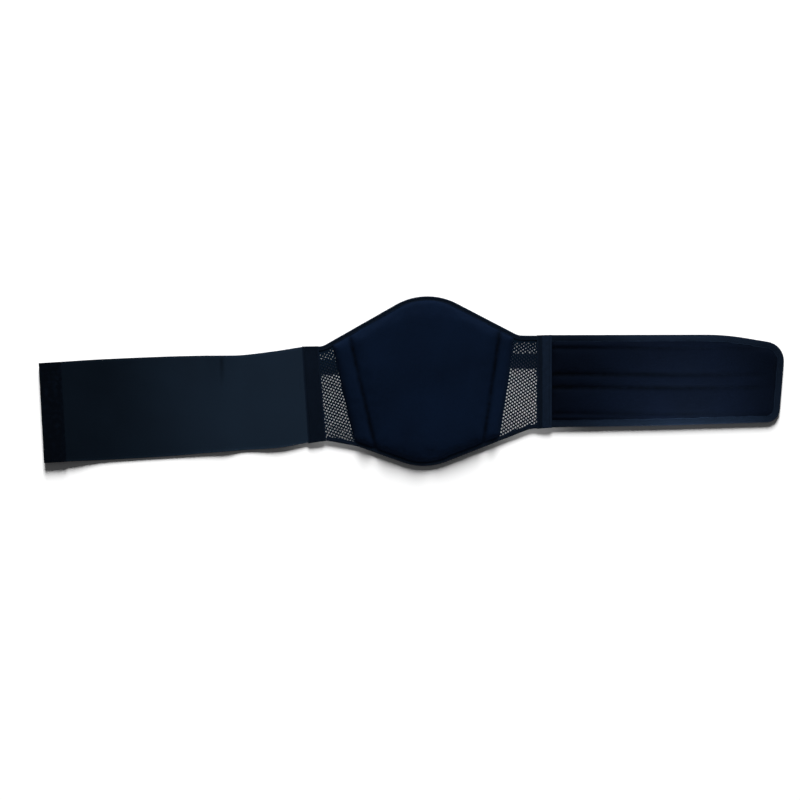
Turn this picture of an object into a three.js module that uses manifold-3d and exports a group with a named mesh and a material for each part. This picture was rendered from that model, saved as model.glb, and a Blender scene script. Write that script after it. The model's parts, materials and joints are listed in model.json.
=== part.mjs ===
// A kidney belt laid out flat with its outer side up: a padded back panel with a vent net on each
// side, a wide elastic band with a hook tab at its left end, and a loop-faced padded wing at the
// right. Millimetres, +Z up, +X along the belt to the right, +Y towards its upper edge. The origin
// is on the flat underside of the back pad, below its middle.
import * as THREE from "three";
import { mergeVertices } from "three/addons/utils/BufferGeometryUtils.js";
import Module from "manifold-3d";

const wasm = await Module();
wasm.setup();

// Cloth and sewing sizes that the pieces share
const CLOTH = 1.4; // elastic, net, and the pressed edges of the padded pieces
const PLY = 0.8; // one layer of folded tape
const GAP = 0.3; // between neighbouring pieces
const SLOT = CLOTH + 2 * GAP; // room inside a folded tape
const FOLD = PLY + GAP; // from a tape's folded edge to the cloth inside it
const TUCK = 6; // depth of the slots in a join strip
const SEAM_LOW = FOLD; // underside of the cloth in a seam that lies on the surface
const SEAM_HIGH = SEAM_LOW + CLOTH;
const TAPE_HIGH = 2 * PLY + SLOT; // thickness of a folded tape
const TAPE_BEVEL = 0.35;
const TAPE_CHORD = 0.05; // how far the straight run between two sections may leave a curve

// Back panel: the outer edges of pad and nets from left to right, as corners with a radius
const PANEL_TOP = [
  { x: -138.4, y: 45.0, round: 0 },
  { x: -132.6, y: 45.4, round: 14 },
  { x: 1.3, y: 121.6, round: 83 },
  { x: 121.2, y: 59.2, round: 20 },
  { x: 145.4, y: 59.0, round: 0 },
];
const PANEL_BOTTOM = [
  { x: -128.5, y: -77.5, round: 0 },
  { x: -89.7, y: -84.2, round: 90 },
  { x: -0.5, y: -115.8, round: 80 },
  { x: 136.9, y: -62.0, round: 25 },
  { x: 145.4, y: -61.9, round: 0 },
];
const PANEL_BINDING = { width: 5.5 };

// Back pad: where its slanting sides meet the panel's edges, its padding and its sewn lines
const PAD_SIDES = { topLeft: -122.2, topRight: 117.0, bottomLeft: -91.0, bottomRight: 96.9 };
const PAD_RISE = 8.2; // padding above the seam
const PAD_RUN = 11; // from the pressed edge to the full padding
const PAD_STEPS = [0, 0.8, 2.6, 6, 11]; // rings of points within that run
const PAD_LIP = { bound: PANEL_BINDING.width - FOLD + GAP, sewn: 0.8 }; // width of the pressed edge
const PAD_LINES = { left: 25, right: 20 }; // sewn lines, from the pad's sides
const PAD_DIP = 3.4; // depth of a sewn line
const PAD_VALLEY = 3.2; // half width of its valley
const LINE_STEPS = [-4.5, -1.8, 0, 1.8, 4.5]; // points across a sewn line
const PAD_COLUMNS = 8; // points between the two sewn lines
const PAD_CLEAR = 14; // from a sewn line to those points
const PAD_ROWS = 8;
const PAD_SHOULDER = 0.13; // share of a side from its corner to the first of those rows

// Vent nets: staggered six-sided holes in rows that lean with the pad's sides
const NET_CELL = { across: 11.6, along: 9.3 };
const NET_HOLE = 3.0; // from a hole's middle to its corners
const NET_RIM = 1.0; // cloth left round the outermost holes
const NET_SELVEDGE = 3.5; // closed edge below the upper binding
const NET_REACH = 14; // rows of the lattice to each side of a net's middle
const NET_LEAN = { left: 18, right: -9 }; // degrees
const NET_TAPE = { width: 20, leftY: 18, rightY: 26 }; // stretch tape behind each net

// Join strips and end tab: folded tapes, by their corners
const LEFT_STRIP = {
  leftTop: [-159.9, 44.9],
  rightTop: [-138.7, 45.2],
  leftBottom: [-151.5, -81.0],
  rightBottom: [-128.8, -77.8],
};
const RIGHT_STRIP = {
  leftTop: [145.7, 59.4],
  rightTop: [164.2, 59.9],
  leftBottom: [145.7, -62.2],
  rightBottom: [164.2, -60.7],
};
const END_TAB = {
  leftTop: [-501.5, 23.2],
  rightTop: [-472.0, 25.0],
  leftBottom: [-494.4, -106.5],
  rightBottom: [-464.9, -104.7],
};
const HOOK_TAPE = { width: 22, length: 120, thick: 1.5 };
const TAB_LOW = HOOK_TAPE.thick + GAP; // the tab lies on its hook tape

// Elastic band from its outer end to the join strip: the upper and lower end of each section,
// and the height of the cloth's middle there. A shallow buckle stands at the upper edge.
const BAND_SECTIONS = [
  { topX: -500.4, topY: 23.3, topZ: 3.6, lowX: -493.3, lowY: -106.4, lowZ: 3.6 },
  { topX: -466.0, topY: 25.4, topZ: 3.6, lowX: -459.0, lowY: -104.4, lowZ: 3.6 },
  { topX: -422.5, topY: 28.2, topZ: 1.6, lowX: -416.0, lowY: -102.6, lowZ: 1.2 },
  { topX: -344.5, topY: 31.6, topZ: 0.9, lowX: -340.0, lowY: -98.3, lowZ: 0.8 },
  { topX: -290.0, topY: 33.0, topZ: 1.6, lowX: -286.0, lowY: -93.8, lowZ: 1.5 },
  { topX: -263.0, topY: 33.0, topZ: 6.4, lowX: -259.0, lowY: -91.7, lowZ: 2.0 },
  { topX: -236.0, topY: 33.9, topZ: 1.5, lowX: -232.0, lowY: -89.6, lowZ: 0.9 },
  { topX: -195.0, topY: 38.8, topZ: 2.9, lowX: -190.0, lowY: -86.8, lowZ: 2.2 },
  { topX: -162.0, topY: 44.0, topZ: 1.8, lowX: -153.6, lowY: -80.4, lowZ: 1.8 },
  { topX: -154.2, topY: 44.4, topZ: 1.8, lowX: -145.8, lowY: -79.9, lowZ: 1.8 },
];
const BAND_STEPS = 4; // columns of points from one section to the next
const BAND_ROWS = 7; // points across the band

// Loop wing: its outer edge from inside the join strip round the free end and back
const WING_EDGE = [
  { x: 158.5, y: 59.8, round: 0 },
  { x: 390.0, y: 60.3, round: 320 },
  { x: 468.0, y: 47.2, round: 25 },
  { x: 459.8, y: -53.4, round: 18 },
  { x: 300.0, y: -58.0, round: 500 },
  { x: 158.5, y: -60.4, round: 0 },
];
const WING_BINDING = { width: 9 };
const WING_RISE = 4.9;
const WING_RUN = 6.2;
const WING_STEPS = [0, 0.6, 2, 4, 6.2];
const WING_LIP = { bound: WING_BINDING.width - FOLD + GAP, tucked: TUCK };
const WING_LINES = { middle: 8.5, outer: 17.5 }; // from the middle line, and from the outer edge
const WING_DIP = 2.6;
const WING_VALLEY = 2.6;
const WING_FADE = { from: 425, to: 448 }; // where the sewn lines run out towards the free end
const WING_COLUMNS = 15;
const WING_LATE = 4; // how far along the wing its rows keep the strip's levels
const WING_CORNER = 5; // points on half a corner
const WING_LEVELS = [16, 11.1, 8.5, 5.9, 0, -5.9, -8.5, -11.1, -16]; // rows of points near the middle line
const WING_SHOULDER = { inner: 22, outer: 41 }; // from the middle line to the rows outside them

// Colours and finishes of the cloths
const FINISH = {
  elastic: { color: 0x182030, roughness: 0.7 },
  tape: { color: 0x10151f, roughness: 0.85 },
  stretch: { color: 0x4c4a50, roughness: 0.9 },
  pad: { color: 0x0b1424, roughness: 0.9 },
  net: { color: 0x0b1018, roughness: 0.8 },
  loop: { color: 0x0b1120, roughness: 1.0 },
  hook: { color: 0x08090c, roughness: 0.6 },
};

const mix = (a, b, t) => a + (b - a) * t;
const place = ([x, y]) => new THREE.Vector2(x, y);
const raise = (point, z) => new THREE.Vector3(point.x, point.y, z);
const between = (a, b, t) => a.clone().lerp(b, t);
const series = (count, make) => Array.from({ length: count }, (_, i) => make(i));
const STRAIGHT = 0.0005; // a turn too small for two lines to cross clearly
const WELD = 0.001; // points closer than this are one
const HALVINGS = 40; // of a search by halves

// An open edge of straight runs that is rounded at each corner of a table
function edgePath(corners) {
  const points = corners.map(({ x, y }) => place([x, y]));
  const path = new THREE.CurvePath();
  let from = points[0];
  for (let i = 1; i < points.length - 1; i++) {
    const round = corners[i].round;
    const back = points[i - 1].clone().sub(points[i]).normalize();
    const on = points[i + 1].clone().sub(points[i]).normalize();
    const half = Math.acos(back.dot(on)) / 2;
    const inward = back.clone().add(on).normalize();
    const middle = points[i].clone().addScaledVector(inward, round / Math.sin(half));
    const start = points[i].clone().addScaledVector(back, round / Math.tan(half));
    const end = points[i].clone().addScaledVector(on, round / Math.tan(half));
    const startAngle = start.clone().sub(middle).angle();
    const endAngle = end.clone().sub(middle).angle();
    const clockwise = back.cross(on) > 0;
    path.add(new THREE.LineCurve(from, start));
    path.add(new THREE.EllipseCurve(middle.x, middle.y, round, round, startAngle, endAngle, clockwise));
    from = end;
  }
  path.add(new THREE.LineCurve(from, points[points.length - 1]));
  return path;
}

// The point at share t of a path's length, moved to the right of its run
function besidePath(path, t, distance) {
  const along = path.getTangent(t);
  return path.getPoint(t).add(place([along.y * distance, -along.x * distance]));
}

// The share of its length at which a path that runs from left to right reaches x
function shareAt(path, x) {
  let low = 0;
  let high = 1;
  for (let i = 0; i < HALVINGS; i++) {
    const middle = (low + high) / 2;
    if (path.getPoint(middle).x < x) low = middle;
    else high = middle;
  }
  return (low + high) / 2;
}

// A loop that runs clockwise, with each of its sides moved inwards by its own distance
function insetLoop(loop, distances) {
  const lines = loop.map((point, i) => {
    const along = loop[(i + 1) % loop.length].clone().sub(point).normalize();
    const from = point.clone().add(place([along.y * distances[i], -along.x * distances[i]]));
    return { along, from };
  });
  return lines.map(({ along, from }, i) => {
    const before = lines[(i + lines.length - 1) % lines.length];
    const turn = before.along.cross(along);
    if (Math.abs(turn) < STRAIGHT) return from;
    const reach = from.clone().sub(before.from).cross(along) / turn;
    return before.from.clone().addScaledVector(before.along, reach);
  });
}

// Triangles of a flat outline, all turned the way that the outline runs
function flatFaces(outline) {
  const clockwise = THREE.ShapeUtils.isClockWise(outline);
  return THREE.ShapeUtils.triangulateShape(outline, []).map(([a, b, c]) => {
    const turned = THREE.ShapeUtils.isClockWise([outline[a], outline[b], outline[c]]);
    return turned === clockwise ? [a, b, c] : [a, c, b];
  });
}

// A closed solid from its points and its faces, with the faces turned out
function closedSolid(points, faces) {
  const triangles = faces.flatMap(([a, b, c, d]) => {
    const first = [a, b, c];
    return d === undefined ? [first] : [first, [a, c, d]];
  });
  const normal = new THREE.Vector3();
  const volume = triangles.reduce(
    (sum, [a, b, c]) => sum + points[a].dot(normal.crossVectors(points[b], points[c])),
    0,
  );
  const outward = volume < 0 ? triangles.map(([a, b, c]) => [a, c, b]) : triangles;
  const geometry = new THREE.BufferGeometry().setFromPoints(points);
  geometry.setIndex(outward.flat());
  geometry.computeVertexNormals();
  return geometry;
}

// A solid through rings of points that all copy one closed section, with flat ends
function loftSolid(rings, section) {
  const count = section.length;
  const last = (rings.length - 1) * count;
  const walls = series(last, (k) => {
    const next = k - (k % count) + ((k + 1) % count);
    return [k, next, next + count, k + count];
  });
  const end = flatFaces(section.map(place));
  const caps = end.flatMap(([a, b, c]) => [
    [a, c, b],
    [last + a, last + b, last + c],
  ]);
  return closedSolid(rings.flat(), [...walls, ...caps]);
}

// Section of a tape folded over one edge, from the fold to its two free edges
const foldSection = (width) => [
  [TAPE_BEVEL, 0],
  [width, 0],
  [width, PLY],
  [PLY, PLY],
  [PLY, PLY + SLOT],
  [width, PLY + SLOT],
  [width, TAPE_HIGH],
  [TAPE_BEVEL, TAPE_HIGH],
  [0, TAPE_HIGH - PLY],
  [0, PLY],
];

// Section of a join strip: two layers sewn along the middle, with a slot in each edge
const stripSection = (width) => [
  [TAPE_BEVEL, 0],
  [width - TAPE_BEVEL, 0],
  [width, PLY / 2],
  [width, PLY],
  [width - TUCK, PLY],
  [width - TUCK, PLY + SLOT],
  [width, PLY + SLOT],
  [width, TAPE_HIGH - PLY / 2],
  [width - TAPE_BEVEL, TAPE_HIGH],
  [TAPE_BEVEL, TAPE_HIGH],
  [0, TAPE_HIGH - PLY / 2],
  [0, PLY + SLOT],
  [TUCK, PLY + SLOT],
  [TUCK, PLY],
  [0, PLY],
  [0, PLY / 2],
];

// Shares of a path's length for the sections of a tape: the ends of its straight runs, and steps
// round its corners
function sectionShares(path, start, end) {
  const lengths = path.getCurveLengths();
  const total = path.getLength();
  const shares = path.curves.flatMap((curve, i) => {
    const from = i === 0 ? 0 : lengths[i - 1];
    const chord = curve.isEllipseCurve ? Math.sqrt(8 * curve.xRadius * TAPE_CHORD) : Infinity;
    const parts = Math.max(1, Math.ceil(curve.getLength() / chord));
    return series(parts, (k) => mix(from, lengths[i], k / parts) / total);
  });
  return [start, ...shares.filter((t) => t > start && t < end), end];
}

// A tape folded over the edge of a path, between two shares of its length; side is 1 where the
// cloth is on the right of the path's run and -1 where it is on the left
function bindingSolid(path, { width }, side, start = 0, end = 1) {
  const section = foldSection(width);
  const rings = sectionShares(path, start, end).map((t) =>
    section.map(([across, z]) => raise(besidePath(path, t, side * across), z)),
  );
  return loftSolid(rings, section);
}

// A straight tape between its left and right edge
function stripSolid({ leftTop, rightTop, leftBottom, rightBottom }, makeSection) {
  const ends = [
    { left: place(leftBottom), right: place(rightBottom) },
    { left: place(leftTop), right: place(rightTop) },
  ];
  const rings = ends.map(({ left, right }) => {
    const width = left.distanceTo(right);
    return makeSection(width).map(([across, z]) => raise(between(left, right, across / width), z));
  });
  return loftSolid(rings, makeSection(ends[0].left.distanceTo(ends[0].right)));
}

// Rises from 0 at a pressed edge to 1 at the end of the run, as the round of a cushion does
const plump = (distance, run) => Math.sqrt(1 - (1 - Math.min(distance / run, 1)) ** 2);

// A sewn valley: 1 on the line, nearly 0 at twice its half width
const valley = (distance, halfWidth) => Math.exp(-((distance / halfWidth) ** 2));

// A cushion inside four sides of points that run clockwise from the upper left corner. Its edges
// are pressed flat for the width of the lips and rise to the padding; its underside is flat. The
// higher late is, the nearer to the right end its rows of points leave the left end's levels.
function cushionSolid({ sides, lips, steps, run, padding, late }) {
  const loop = sides.flat();
  const count = loop.length;
  const lipAt = sides.flatMap((side, i) => side.map(() => lips[i]));
  const rings = steps.map((step) => insetLoop(loop, lipAt.map((lip) => lip + step)));
  const points = [];
  const faces = [];
  const addPoints = (list, height) => {
    list.forEach((point) => points.push(raise(point, height(point))));
    return points.length - list.length;
  };
  const joinRings = (from, to) => {
    for (let i = 0; i < count; i++) {
      const next = (i + 1) % count;
      faces.push([from + i, to + i, to + next, from + next]);
    }
  };
  const upper = rings.map((ring, k) =>
    addPoints(ring, (point) => SEAM_HIGH + plump(steps[k], run) * padding(point)),
  );
  const rimUpper = addPoints(loop, () => SEAM_HIGH);
  const rimLower = addPoints(loop, () => SEAM_LOW);
  const lipLower = addPoints(rings[0], () => SEAM_LOW);
  const base = addPoints(rings[1], () => 0);
  const skin = [base, lipLower, rimLower, rimUpper, ...upper];
  skin.slice(1).forEach((ring, i) => joinRings(skin[i], ring));

  const inner = rings[rings.length - 1];
  const innerStart = upper[upper.length - 1];
  const columns = sides[0].length;
  const rows = sides[1].length;
  const top = (i) => i;
  const right = (j) => columns + j;
  const bottom = (i) => 2 * columns + rows - i;
  const left = (j) => (2 * columns + 2 * rows - j) % count;
  const under = (...ring) => faces.push(ring.map((k) => base + k));
  for (let i = 1; i < columns - 1; i++) under(top(i), top(i + 1), bottom(i + 1), bottom(i));
  for (let j = 0; j < rows; j++) {
    under(top(1), left(j + 1), left(j));
    under(top(columns - 1), right(j), right(j + 1));
  }
  under(top(1), bottom(1), bottom(0));
  under(top(columns - 1), bottom(columns), bottom(columns - 1));
  const grid = series(rows + 1, (j) =>
    series(columns + 1, (i) => {
      if (j === 0) return innerStart + top(i);
      if (j === rows) return innerStart + bottom(i);
      if (i === 0) return innerStart + left(j);
      if (i === columns) return innerStart + right(j);
      const u = (i / columns) ** late;
      const v = j / rows;
      const upright = between(inner[top(i)], inner[bottom(i)], v);
      const level = between(inner[left(j)], inner[right(j)], u);
      const high = between(inner[top(0)], inner[top(columns)], u);
      const low = between(inner[bottom(0)], inner[bottom(columns)], u);
      const spot = upright.add(level).sub(between(high, low, v));
      return addPoints([spot], (point) => SEAM_HIGH + padding(point));
    }),
  );
  for (let j = 0; j < rows; j++) {
    for (let i = 0; i < columns; i++) {
      faces.push([grid[j][i], grid[j + 1][i], grid[j + 1][i + 1], grid[j][i + 1]]);
    }
  }
  return closedSolid(points, faces);
}

const panelTop = edgePath(PANEL_TOP);
const panelBottom = edgePath(PANEL_BOTTOM);
const panelHigh = (x, inset) => besidePath(panelTop, shareAt(panelTop, x), inset);
const panelLow = (x, inset) => besidePath(panelBottom, shareAt(panelBottom, x), -inset);
const padCorners = {
  topLeft: panelHigh(PAD_SIDES.topLeft, FOLD),
  topRight: panelHigh(PAD_SIDES.topRight, FOLD),
  bottomLeft: panelLow(PAD_SIDES.bottomLeft, FOLD),
  bottomRight: panelLow(PAD_SIDES.bottomRight, FOLD),
};

// How far a point lies to the right of the line from one point up to another
function fromLine(point, from, to) {
  const along = to.clone().sub(from).normalize();
  return -along.cross(point.clone().sub(from));
}

// Where a slanting line crosses a height
const crossing = (low, high, y) => between(low, high, (y - low.y) / (high.y - low.y));

// Points along the pad's upper or lower edge, close together at its two sewn lines
function padMarks(left, right) {
  const leftLine = left + PAD_LINES.left;
  const rightLine = right - PAD_LINES.right;
  const inner = [leftLine + PAD_CLEAR, rightLine - PAD_CLEAR];
  const middle = series(PAD_COLUMNS, (i) => mix(...inner, i / (PAD_COLUMNS - 1)));
  return [
    left,
    ...LINE_STEPS.map((step) => leftLine + step),
    ...middle,
    ...LINE_STEPS.map((step) => rightLine + step),
    right,
  ];
}

// Padded back panel with a sewn line beside each net
function backPad() {
  const { topLeft, topRight, bottomLeft, bottomRight } = padCorners;
  const high = padMarks(PAD_SIDES.topLeft, PAD_SIDES.topRight).map((x) => panelHigh(x, FOLD));
  const low = padMarks(PAD_SIDES.bottomLeft, PAD_SIDES.bottomRight).map((x) => panelLow(x, FOLD));
  const rows = [0, ...series(PAD_ROWS, (j) => mix(PAD_SHOULDER, 1 - PAD_SHOULDER, j / (PAD_ROWS - 1)))];
  const rightSide = rows.map((t) => between(topRight, bottomRight, t));
  const leftSide = rows.map((t) => between(bottomLeft, topLeft, t));
  return cushionSolid({
    sides: [high.slice(0, -1), rightSide, low.reverse().slice(0, -1), leftSide],
    lips: [PAD_LIP.bound, PAD_LIP.sewn, PAD_LIP.bound, PAD_LIP.sewn],
    steps: PAD_STEPS,
    run: PAD_RUN,
    late: 1,
    padding: (point) => {
      const toLeft = fromLine(point, bottomLeft, topLeft) - PAD_LINES.left;
      const toRight = fromLine(point, topRight, bottomRight) - PAD_LINES.right;
      return PAD_RISE - PAD_DIP * (valley(toLeft, PAD_VALLEY) + valley(toRight, PAD_VALLEY));
    },
  });
}

// Loop-faced wing with two sewn lines along its middle and one beside each long edge
const wingEdge = edgePath(WING_EDGE);
const wingLength = wingEdge.getLength();
function loopWing() {
  const middleY = (WING_EDGE[0].y + WING_EDGE[5].y) / 2;
  const halfHeight = (WING_EDGE[0].y - WING_EDGE[5].y) / 2;
  const shares = wingEdge.getCurveLengths().map((length) => length / wingLength);
  const [upperStart, upperEnd, lowerStart, lowerEnd] = shares.slice(2, 6);
  const upperCorner = (upperStart + upperEnd) / 2;
  const lowerCorner = (lowerStart + lowerEnd) / 2;
  const edgePoint = (t) => besidePath(wingEdge, t, FOLD);
  const run = (count, from, to) => series(count, (i) => edgePoint(mix(from, to, i / count)));
  const endLine = { high: edgePoint(upperEnd), low: edgePoint(lowerStart) };
  const startLine = { high: edgePoint(0), low: edgePoint(1) };
  const levels = WING_LEVELS.map((level) => middleY + level);
  const { inner, outer } = WING_SHOULDER;
  const shoulder = (count, from, to) => series(count, (i) => middleY + mix(from, to, i / (count - 1)));
  const startLevels = [
    startLine.low.y,
    ...shoulder(WING_CORNER, -outer, -inner),
    ...levels.toReversed(),
    ...shoulder(WING_CORNER - 1, inner, outer),
  ];
  const high = [...run(WING_COLUMNS, 0, upperStart), ...run(WING_CORNER, upperStart, upperCorner)];
  const end = [
    ...run(WING_CORNER, upperCorner, upperEnd),
    ...levels.map((y) => crossing(endLine.low, endLine.high, y)),
    ...run(WING_CORNER, lowerStart, lowerCorner),
  ];
  const low = [...run(WING_CORNER, lowerCorner, lowerEnd), ...run(WING_COLUMNS, lowerEnd, 1)];
  const start = startLevels.map((y) => crossing(startLine.low, startLine.high, y));
  return cushionSolid({
    sides: [high, end, low, start],
    lips: [WING_LIP.bound, WING_LIP.bound, WING_LIP.bound, WING_LIP.tucked],
    steps: WING_STEPS,
    run: WING_RUN,
    late: WING_LATE,
    padding: (point) => {
      const off = Math.abs(point.y - middleY);
      const toMiddle = off - WING_LINES.middle;
      const toOuter = halfHeight - off - WING_LINES.outer;
      const dip = Math.max(valley(toMiddle, WING_VALLEY), valley(toOuter, WING_VALLEY));
      const fade = 1 - THREE.MathUtils.smoothstep(point.x, WING_FADE.from, WING_FADE.to);
      return WING_RISE - WING_DIP * dip * fade;
    },
  });
}

// Woven elastic: sections of the table, eased from one height to the next
function elasticBand() {
  const count = BAND_SECTIONS.length;
  const curve = (points) => new THREE.CatmullRomCurve3(points.map((point) => raise(place(point), 0)));
  const topEdge = curve(BAND_SECTIONS.map(({ topX, topY }) => [topX, topY]));
  const lowEdge = curve(BAND_SECTIONS.map(({ lowX, lowY }) => [lowX, lowY]));
  const rings = series((count - 1) * BAND_STEPS + 1, (k) => {
    const index = Math.min(Math.floor(k / BAND_STEPS), count - 2);
    const t = k / BAND_STEPS - index;
    const from = BAND_SECTIONS[index];
    const to = BAND_SECTIONS[index + 1];
    const ease = THREE.MathUtils.smoothstep(t, 0, 1);
    const top = topEdge.getPoint((index + t) / (count - 1)).setZ(mix(from.topZ, to.topZ, ease));
    const low = lowEdge.getPoint((index + t) / (count - 1)).setZ(mix(from.lowZ, to.lowZ, ease));
    const middle = series(BAND_ROWS + 1, (j) => between(low, top, j / BAND_ROWS));
    const face = (side) => middle.map((point) => point.clone().setZ(point.z + (side * CLOTH) / 2));
    return [...face(-1), ...face(1).reverse()];
  });
  const row = series(BAND_ROWS + 1, (j) => j);
  const section = [...row.map((j) => [j, 0]), ...row.reverse().map((j) => [j, 1])];
  return loftSolid(rings, section);
}

// A closed geometry as a solid that can be cut
function cuttable(geometry) {
  const bare = geometry.clone();
  bare.deleteAttribute("normal");
  bare.deleteAttribute("uv");
  const merged = mergeVertices(bare, WELD);
  const vertProperties = new Float32Array(merged.attributes.position.array);
  const triVerts = new Uint32Array(merged.index.array);
  return new wasm.Manifold(new wasm.Mesh({ numProp: 3, vertProperties, triVerts }));
}

// The geometry of a solid after its cuts
function cutGeometry(solid) {
  const { vertProperties, triVerts } = solid.getMesh();
  const geometry = new THREE.BufferGeometry();
  geometry.setAttribute("position", new THREE.BufferAttribute(vertProperties, 3));
  geometry.setIndex(new THREE.BufferAttribute(triVerts, 1));
  geometry.computeVertexNormals();
  return geometry;
}

// A vent net inside an outline, with staggered holes cut within its window
function ventNet(outline, window, lean) {
  const sheet = new THREE.ExtrudeGeometry(new THREE.Shape(outline), { depth: CLOTH, bevelEnabled: false });
  const middle = new THREE.Vector2();
  window.forEach((corner) => middle.addScaledVector(corner, 1 / window.length));
  const turn = THREE.MathUtils.degToRad(lean);
  const hole = new THREE.CylinderGeometry(NET_HOLE, NET_HOLE, 3 * CLOTH, 6);
  hole.rotateX(Math.PI / 2).rotateZ(turn);
  const room = (point, i) => fromLine(point, window[i], window[(i + 1) % window.length]);
  const inside = (point) => window.every((_, i) => room(point, i) > NET_HOLE + NET_RIM);
  let net = cuttable(sheet);
  for (let i = -NET_REACH; i <= NET_REACH; i++) {
    for (let j = -NET_REACH; j <= NET_REACH; j++) {
      const stagger = i % 2 === 0 ? 0 : 0.5;
      const spot = place([(i * NET_CELL.across) / 2, (j + stagger) * NET_CELL.along]);
      const centre = spot.rotateAround(new THREE.Vector2(), turn).add(middle);
      if (!inside(centre)) continue;
      net = net.subtract(cuttable(hole.clone().translate(centre.x, centre.y, CLOTH / 2)));
    }
  }
  return cutGeometry(net);
}

// Points of a panel edge from left to right: its ends, and three on each rounded corner between
function edgeRun(path, pointAt, fromX, toX) {
  const bends = path.curves
    .filter((curve) => curve.isEllipseCurve)
    .flatMap((curve) => [0, 0.5, 1].map((t) => curve.getPoint(t).x));
  const marks = [fromX, ...bends.filter((x) => x > fromX + 1 && x < toX - 1), toX];
  return marks.map((x) => pointAt(x, FOLD));
}

// The net between the left strip and the pad, and the net between the pad and the right strip
function leftNet() {
  const tuck = place([GAP - TUCK, 0]);
  const startHigh = PANEL_TOP[0].x;
  const startLow = PANEL_BOTTOM[0].x;
  const high = edgeRun(panelTop, panelHigh, startHigh, PAD_SIDES.topLeft - GAP);
  const low = edgeRun(panelBottom, panelLow, startLow, PAD_SIDES.bottomLeft - GAP);
  const tucked = [low[0], high[0]].map((point) => point.clone().add(tuck));
  const outline = [...high, ...low.toReversed(), ...tucked];
  const window = [
    panelHigh(startHigh, PANEL_BINDING.width + NET_SELVEDGE),
    panelHigh(PAD_SIDES.topLeft, PANEL_BINDING.width + NET_SELVEDGE),
    panelLow(PAD_SIDES.bottomLeft, PANEL_BINDING.width),
    panelLow(startLow, PANEL_BINDING.width),
  ];
  return ventNet(outline, window, NET_LEAN.left);
}

function rightNet() {
  const tuck = place([TUCK - GAP, 0]);
  const endX = PANEL_TOP[4].x;
  const high = edgeRun(panelTop, panelHigh, PAD_SIDES.topRight + GAP, endX);
  const low = edgeRun(panelBottom, panelLow, PAD_SIDES.bottomRight + GAP, endX);
  const tucked = [high.at(-1), low.at(-1)].map((point) => point.clone().add(tuck));
  const outline = [...high, ...tucked, ...low.toReversed()];
  const window = [
    panelHigh(PAD_SIDES.topRight, PANEL_BINDING.width + NET_SELVEDGE),
    panelHigh(endX, PANEL_BINDING.width + NET_SELVEDGE),
    panelLow(endX, PANEL_BINDING.width),
    panelLow(PAD_SIDES.bottomRight, PANEL_BINDING.width),
  ];
  return ventNet(outline, window, NET_LEAN.right);
}

// A stretch tape that crosses behind a net, between two slanting lines
function netTape(left, right, middleY) {
  const upper = middleY + NET_TAPE.width / 2;
  const lower = middleY - NET_TAPE.width / 2;
  const inset = place([GAP, 0]);
  const shape = new THREE.Shape([
    crossing(left.low, left.high, upper).add(inset),
    crossing(right.low, right.high, upper).sub(inset),
    crossing(right.low, right.high, lower).sub(inset),
    crossing(left.low, left.high, lower).add(inset),
  ]);
  return new THREE.ExtrudeGeometry(shape, { depth: PLY, bevelEnabled: false });
}

const belt = new THREE.Group();
function addPiece(name, geometry, finish) {
  const material = new THREE.MeshStandardMaterial({ ...FINISH[finish], metalness: 0 });
  const piece = new THREE.Mesh(geometry, material);
  piece.name = name;
  belt.add(piece);
  return piece;
}

addPiece("elastic_band", elasticBand(), "elastic");
addPiece("end_tab", stripSolid(END_TAB, foldSection), "tape").position.z = TAB_LOW;
const hookTape = addPiece(
  "hook_tape",
  new THREE.BoxGeometry(HOOK_TAPE.width, HOOK_TAPE.length, HOOK_TAPE.thick),
  "hook",
);
const tabMiddle = between(place(END_TAB.leftBottom), place(END_TAB.rightTop), 0.5);
const tabRun = place(END_TAB.leftTop).sub(place(END_TAB.leftBottom));
hookTape.position.set(tabMiddle.x, tabMiddle.y, HOOK_TAPE.thick / 2);
hookTape.rotation.z = tabRun.angle() - Math.PI / 2;

addPiece("join_strip_left", stripSolid(LEFT_STRIP, stripSection), "tape");
addPiece("join_strip_right", stripSolid(RIGHT_STRIP, stripSection), "tape");
addPiece("net_left", leftNet(), "net").position.z = SEAM_LOW;
addPiece("net_right", rightNet(), "net").position.z = SEAM_LOW;
const leftStripEdge = { low: place(LEFT_STRIP.rightBottom), high: place(LEFT_STRIP.rightTop) };
const rightStripEdge = { low: place(RIGHT_STRIP.leftBottom), high: place(RIGHT_STRIP.leftTop) };
const padLeftSide = { low: padCorners.bottomLeft, high: padCorners.topLeft };
const padRightSide = { low: padCorners.bottomRight, high: padCorners.topRight };
addPiece("net_tape_left", netTape(leftStripEdge, padLeftSide, NET_TAPE.leftY), "stretch");
addPiece("net_tape_right", netTape(padRightSide, rightStripEdge, NET_TAPE.rightY), "stretch");

addPiece("back_pad", backPad(), "pad");
addPiece("pad_binding_top", bindingSolid(panelTop, PANEL_BINDING, 1), "tape");
addPiece("pad_binding_bottom", bindingSolid(panelBottom, PANEL_BINDING, -1), "tape");
addPiece("loop_wing", loopWing(), "loop");
const bindingStart = TUCK / wingLength;
addPiece("wing_binding", bindingSolid(wingEdge, WING_BINDING, 1, bindingStart, 1 - bindingStart), "tape");

export default belt;
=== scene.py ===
"""Kidney belt laid out flat with its outer side up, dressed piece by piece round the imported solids."""

import json
import math
from contextlib import contextmanager

import bpy
import numpy as np
from bpy.props import FloatProperty, FloatVectorProperty, PointerProperty
from bpy.types import Operator, Panel, PropertyGroup
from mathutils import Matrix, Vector
from numpy.linalg import norm

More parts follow.
